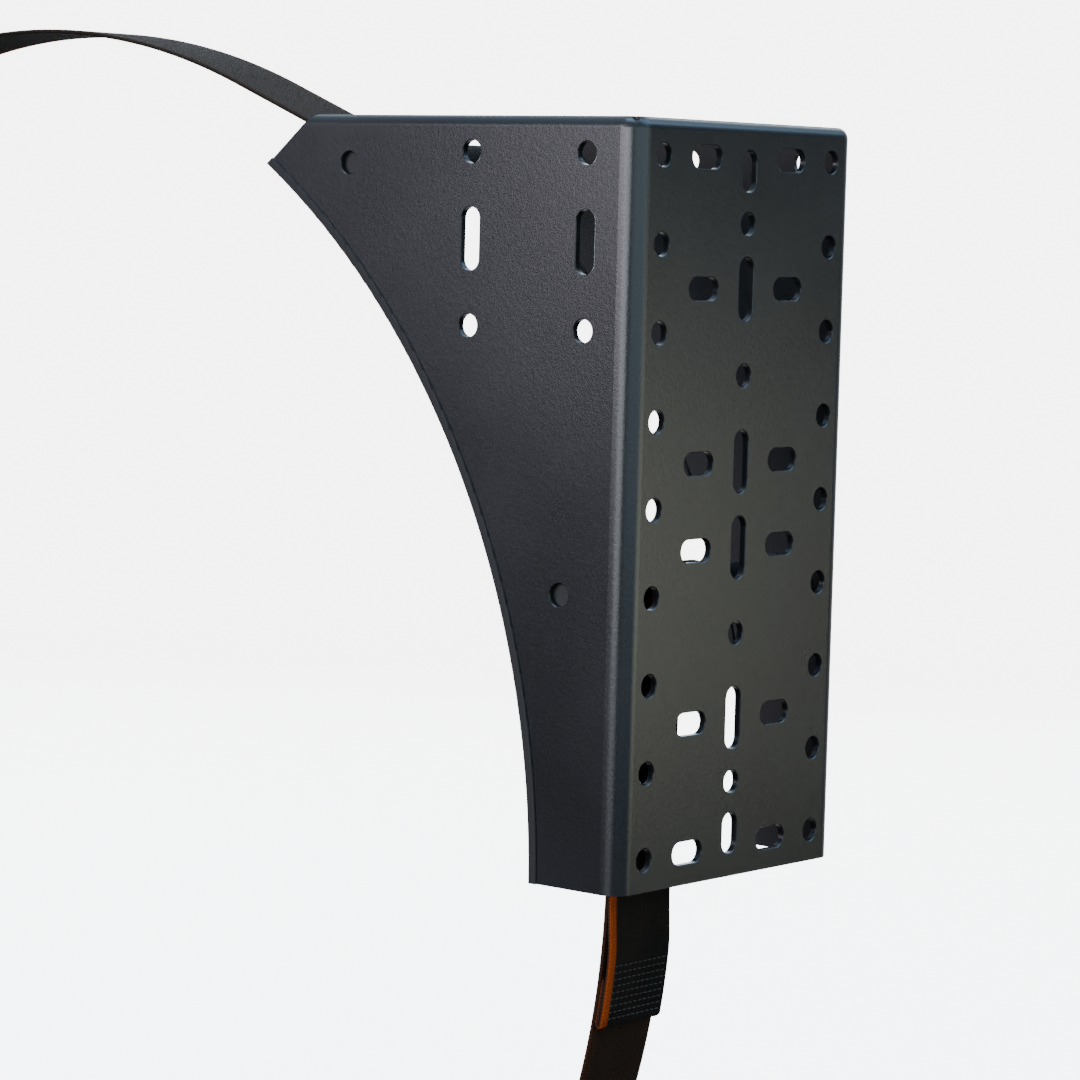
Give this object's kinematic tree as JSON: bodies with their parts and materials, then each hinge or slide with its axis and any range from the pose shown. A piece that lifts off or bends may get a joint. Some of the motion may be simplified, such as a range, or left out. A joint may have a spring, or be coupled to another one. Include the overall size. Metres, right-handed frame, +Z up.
{
  "type": "spare tire carrier",
  "caption": "Folded steel box bracket with a perforated mounting panel, curved to a spare tyre's tread and held on it by a ratchet strap loop.",
  "frame": {"origin": "centre of the spare wheel that the carrier and its strap are fitted to", "axes": "+X outward through the perforated panel, +Y along the wheel's axle, +Z up"},
  "size_m": [0.8538, 0.1624, 0.7637],
  "materials": {
    "powder_coat": "fine textured satin black powder coat",
    "trim_rubber": "matt black rubber edge trim",
    "webbing": "ribbed charcoal brown polyester webbing with burnt orange edge stripes",
    "zinc_plate": "zinc plated pressed steel",
    "spring_steel": "bright spring wire",
    "grip_plastic": "matt black ribbed grip"
  },
  "bodies": {
    "carrier": {"carrier_body": "powder_coat", "upper_cross_bar": "powder_coat", "lower_cross_bar": "powder_coat", "cross_bar_welds": "powder_coat", "near_edge_trim": "trim_rubber", "far_edge_trim": "trim_rubber", "upper_strap": "webbing", "lower_strap": "webbing", "ratchet_frame": "zinc_plate", "anchor_bolt": "zinc_plate", "anchor_nut": "zinc_plate", "anchor_sleeve": "zinc_plate", "lock_pawl_spring": "spring_steel"},
    "spool": {"spool_half_inner": "zinc_plate", "spool_half_outer": "zinc_plate", "near_ratchet_wheel": "zinc_plate", "far_ratchet_wheel": "zinc_plate", "wound_webbing": "webbing", "spool_pins": "zinc_plate"},
    "handle": {"ratchet_handle": "zinc_plate", "handle_grip": "grip_plastic", "grip_pin": "zinc_plate", "drive_pawl_spring": "spring_steel"},
    "drive_pawl": {"drive_pawl": "zinc_plate"},
    "lock_pawl": {"lock_pawl": "zinc_plate"}
  },
  "joints": [
    {"name": "spool_turn", "type": "hinge", "parent": "carrier", "child": "spool", "pos_m": [-0.4015, -0.005, 0], "axis": [0, 1, 0], "continuous": true},
    {"name": "handle_swing", "type": "hinge", "parent": "carrier", "child": "handle", "pos_m": [-0.4015, -0.005, 0], "axis": [0, 1, 0], "range_deg": [0, 150]},
    {"name": "drive_pawl_slide", "type": "slide", "parent": "handle", "child": "drive_pawl", "axis": [0, 0, -1], "range_m": [-0.004, 0.003], "stiffness_N_per_m": 1500, "deforming": ["drive_pawl_spring"]},
    {"name": "lock_pawl_slide", "type": "slide", "parent": "carrier", "child": "lock_pawl", "axis": [0, 0, -1], "range_m": [-0.003, 0.003], "stiffness_N_per_m": 1500, "deforming": ["lock_pawl_spring"]}
  ]
}
